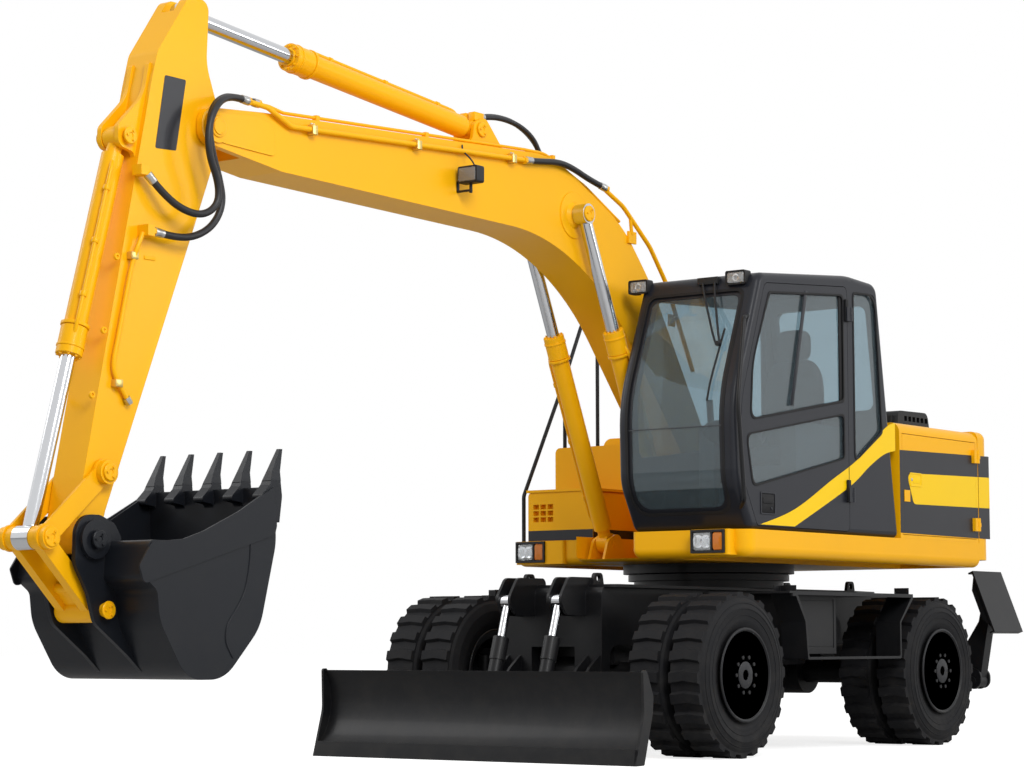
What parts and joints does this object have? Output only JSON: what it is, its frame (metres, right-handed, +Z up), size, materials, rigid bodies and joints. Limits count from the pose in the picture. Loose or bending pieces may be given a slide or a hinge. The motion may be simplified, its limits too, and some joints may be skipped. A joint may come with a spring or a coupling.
{
  "type": "wheeled excavator",
  "caption": "Wheeled excavator with a one-piece boom, stick and toothed bucket, a cab with a hinged door, twin tyres, a front blade and rear stabilisers.",
  "frame": {"origin": "on the ground under the middle of the machine's overall length and width", "axes": "+X forward, along the arm, +Y to the machine's left, +Z up"},
  "size_m": [8.8057, 2.5589, 4.215],
  "materials": {
    "black_paint": "satin",
    "cab_black": "satin",
    "cast": "matte",
    "chrome": "polished",
    "glass": "polished",
    "hose": "matte",
    "interior": "matte",
    "lamp": "satin",
    "rim": "satin",
    "seat": "matte",
    "tyre": "matte",
    "yellow_paint": "gloss"
  },
  "bodies": {
    "chassis": {"chassis_frame": "black_paint", "front_axle": "black_paint", "rear_axle": "black_paint", "steps": "black_paint"},
    "knuckle_left": {"knuckle_left": "black_paint"},
    "knuckle_right": {"knuckle_right": "black_paint"},
    "blade": {"blade": "black_paint"},
    "blade_barrels": {"blade_barrels": "black_paint"},
    "blade_rods": {"blade_rods": "chrome"},
    "upper": {"upper_frame": "yellow_paint", "slew_ring": "black_paint", "counterweight": "yellow_paint", "left_housing": "yellow_paint", "right_housing": "yellow_paint", "engine_block": "cast", "air_cowl": "black_paint", "cab_frame": "cab_black", "cab_glass": "glass", "cab_seat": "seat", "cab_controls": "interior", "headlamps": "lamp", "handrails": "black_paint"},
    "cab_door": {"cab_door": "cab_black", "cab_door_glass": "glass"},
    "side_door_left": {"side_door_left": "yellow_paint"},
    "side_door_right": {"side_door_right": "yellow_paint"},
    "engine_hood": {"engine_hood": "yellow_paint"},
    "boom": {"boom": "yellow_paint", "boom_pipes": "yellow_paint", "hose_boom": "hose", "hose_stick_a": "hose", "hose_stick_b": "hose"},
    "boom_barrels": {"boom_barrels": "yellow_paint"},
    "boom_rods": {"boom_rods": "chrome"},
    "stick": {"stick": "yellow_paint", "stick_ports": "black_paint"},
    "stick_barrel": {"stick_barrel": "yellow_paint"},
    "stick_rod": {"stick_rod": "chrome"},
    "bucket_barrel": {"bucket_barrel": "yellow_paint"},
    "bucket_rod": {"bucket_rod": "chrome"},
    "rocker": {"rocker": "yellow_paint"},
    "bucket_link": {"bucket_link": "yellow_paint"},
    "bucket": {"bucket": "black_paint"},
    "stabiliser_left": {"stabiliser_left": "black_paint"},
    "stabiliser_barrel_left": {"stabiliser_barrel_left": "black_paint"},
    "stabiliser_rod_left": {"stabiliser_rod_left": "chrome"},
    "wheel_front_left": {"tyres_front_left": "tyre", "rims_front_left": "rim"},
    "wheel_rear_left": {"tyres_rear_left": "tyre", "rims_rear_left": "rim"},
    "stabiliser_right": {"stabiliser_right": "black_paint"},
    "stabiliser_barrel_right": {"stabiliser_barrel_right": "black_paint"},
    "stabiliser_rod_right": {"stabiliser_rod_right": "chrome"},
    "wheel_front_right": {"tyres_front_right": "tyre", "rims_front_right": "rim"},
    "wheel_rear_right": {"tyres_rear_right": "tyre", "rims_rear_right": "rim"}
  },
  "joints": [
    {"name": "steer_left", "type": "hinge", "parent": "chassis", "child": "knuckle_left", "pos_m": [-0.46, 0.78, 0.515], "axis": [0, 0, 1], "range_deg": [-30, 30]},
    {"name": "steer_right", "type": "hinge", "parent": "chassis", "child": "knuckle_right", "pos_m": [-0.46, -0.78, 0.515], "axis": [0, 0, 1], "range_deg": [-30, 30]},
    {"name": "roll_front_left", "type": "hinge", "parent": "knuckle_left", "child": "wheel_front_left", "pos_m": [-0.46, 0.97, 0.515], "axis": [0, 1, 0], "continuous": true},
    {"name": "roll_front_right", "type": "hinge", "parent": "knuckle_right", "child": "wheel_front_right", "pos_m": [-0.46, -0.97, 0.515], "axis": [0, 1, 0], "continuous": true},
    {"name": "roll_rear_left", "type": "hinge", "parent": "chassis", "child": "wheel_rear_left", "pos_m": [-3.06, 0.97, 0.515], "axis": [0, 1, 0], "continuous": true},
    {"name": "roll_rear_right", "type": "hinge", "parent": "chassis", "child": "wheel_rear_right", "pos_m": [-3.06, -0.97, 0.515], "axis": [0, 1, 0], "continuous": true},
    {"name": "slew", "type": "hinge", "parent": "chassis", "child": "upper", "pos_m": [-2, 0, 1.188], "axis": [0, 0, 1], "continuous": true},
    {"name": "blade_lift", "type": "hinge", "parent": "chassis", "child": "blade", "pos_m": [-0.04, 0, 0.47], "axis": [0, -1, 0], "range_deg": [-8, 32]},
    {"name": "blade_barrel_tilt", "type": "hinge", "parent": "blade", "child": "blade_barrels", "pos_m": [0.275, 0, 0.3], "axis": [0, -1, 0], "range_deg": [-21.83, 5.83]},
    {"name": "blade_rod_slide", "type": "slide", "parent": "blade_barrels", "child": "blade_rods", "axis": [-0.3015, 0, 0.9535], "range_m": [-0.15963, 0.04216]},
    {"name": "stabiliser_left", "type": "hinge", "parent": "chassis", "child": "stabiliser_left", "pos_m": [-4.16, 0.96, 0.43], "axis": [-1, 0, 0], "range_deg": [0, 118]},
    {"name": "stabiliser_barrel_tilt_left", "type": "hinge", "parent": "chassis", "child": "stabiliser_barrel_left", "pos_m": [-4.16, 0.43, 0.94], "axis": [-1, 0, 0], "range_deg": [-2.27, 0.5]},
    {"name": "stabiliser_rod_slide_left", "type": "slide", "parent": "stabiliser_barrel_left", "child": "stabiliser_rod_left", "axis": [0, 0.8255, -0.5644], "range_m": [-0.003, 0.35311]},
    {"name": "stabiliser_right", "type": "hinge", "parent": "chassis", "child": "stabiliser_right", "pos_m": [-4.16, -0.96, 0.43], "axis": [1, 0, 0], "range_deg": [0, 118]},
    {"name": "stabiliser_barrel_tilt_right", "type": "hinge", "parent": "chassis", "child": "stabiliser_barrel_right", "pos_m": [-4.16, -0.43, 0.94], "axis": [1, 0, 0], "range_deg": [-2.27, 0.5]},
    {"name": "stabiliser_rod_slide_right", "type": "slide", "parent": "stabiliser_barrel_right", "child": "stabiliser_rod_right", "axis": [0, -0.8255, -0.5644], "range_m": [-0.003, 0.35311]},
    {"name": "boom_lift", "type": "hinge", "parent": "upper", "child": "boom", "pos_m": [-1.78, 0, 1.8], "axis": [0, -1, 0], "range_deg": [-50, 27]},
    {"name": "boom_barrel_tilt", "type": "hinge", "parent": "upper", "child": "boom_barrels", "pos_m": [-1.1, 0, 1.385], "axis": [0, -1, 0], "range_deg": [-53.76, 29.26]},
    {"name": "boom_rod_slide", "type": "slide", "parent": "boom_barrels", "child": "boom_rods", "axis": [0.4082, 0, 0.9129], "range_m": [-0.66289, 0.35934]},
    {"name": "stick_swing", "type": "hinge", "parent": "boom", "child": "stick", "pos_m": [3.176, 0, 3.515], "axis": [0, 1, 0], "range_deg": [-60, 38], "deforming": ["hose_stick_a", "hose_stick_b"]},
    {"name": "stick_barrel_tilt", "type": "hinge", "parent": "boom", "child": "stick_barrel", "pos_m": [0.7, 0, 3.9], "axis": [0, -1, 0], "range_deg": [-1.62, 1.21]},
    {"name": "stick_rod_slide", "type": "slide", "parent": "stick_barrel", "child": "stick_rod", "axis": [0.9956, 0, 0.094], "range_m": [-0.62303, 0.39568]},
    {"name": "bucket_curl", "type": "hinge", "parent": "stick", "child": "bucket", "pos_m": [4.057, 0, 1.244], "axis": [0, 1, 0], "range_deg": [-145, 18]},
    {"name": "rocker_swing", "type": "hinge", "parent": "stick", "child": "rocker", "pos_m": [3.952, 0, 1.593], "axis": [0, -1, 0], "range_deg": [-11.08, 85.72]},
    {"name": "link_swing", "type": "hinge", "parent": "bucket", "child": "bucket_link", "pos_m": [3.973, 0, 0.887], "axis": [0, -1, 0], "range_deg": [-85.53, 11.06]},
    {"name": "bucket_barrel_tilt", "type": "hinge", "parent": "stick", "child": "bucket_barrel", "pos_m": [3.768, 0, 3.383], "axis": [0, -1, 0], "range_deg": [-1.64, 9.7]},
    {"name": "bucket_rod_slide", "type": "slide", "parent": "bucket_barrel", "child": "bucket_rod", "axis": [0.2617, 0, -0.9651], "range_m": [-0.65145, 0.0835]},
    {"name": "cab_door_swing", "type": "hinge", "parent": "upper", "child": "cab_door", "pos_m": [-1.824, 1.253, 2.25], "axis": [0, 0, 1], "range_deg": [0, 160]},
    {"name": "side_door_left_swing", "type": "hinge", "parent": "upper", "child": "side_door_left", "pos_m": [-3.64, 1.258, 1.8], "axis": [0, 0, -1], "range_deg": [-100, 0]},
    {"name": "side_door_right_swing", "type": "hinge", "parent": "upper", "child": "side_door_right", "pos_m": [-3.64, -1.258, 1.8], "axis": [0, 0, -1], "range_deg": [0, 100]},
    {"name": "engine_hood_lift", "type": "hinge", "parent": "upper", "child": "engine_hood", "pos_m": [-3.67, 0, 2.25], "axis": [0, -1, 0], "range_deg": [0, 60]}
  ],
  "couplings": [
    {"joint": "steer_right", "follows": "steer_left", "ratio": 1},
    {"joint": "blade_barrel_tilt", "follows": "blade_lift", "ratio": -0.66651},
    {"joint": "blade_rod_slide", "follows": "blade_lift", "m_per_rad": -0.28045},
    {"joint": "stabiliser_barrel_tilt_left", "follows": "stabiliser_left", "ratio": -0.015},
    {"joint": "stabiliser_rod_slide_left", "follows": "stabiliser_left", "m_per_rad": 0.17},
    {"joint": "stabiliser_barrel_tilt_right", "follows": "stabiliser_right", "ratio": -0.015},
    {"joint": "stabiliser_rod_slide_right", "follows": "stabiliser_right", "m_per_rad": 0.17},
    {"joint": "boom_barrel_tilt", "follows": "boom_lift", "ratio": 1.0651},
    {"joint": "boom_rod_slide", "follows": "boom_lift", "m_per_rad": 0.75618},
    {"joint": "stick_barrel_tilt", "follows": "stick_swing", "ratio": 0.018675},
    {"joint": "stick_rod_slide", "follows": "stick_swing", "m_per_rad": 0.59208},
    {"joint": "rocker_swing", "follows": "bucket_curl", "ratio": -0.58776},
    {"joint": "link_swing", "follows": "bucket_curl", "ratio": 0.58644},
    {"joint": "bucket_barrel_tilt", "follows": "bucket_curl", "ratio": -0.063441},
    {"joint": "bucket_rod_slide", "follows": "bucket_curl", "m_per_rad": 0.25623}
  ]
}
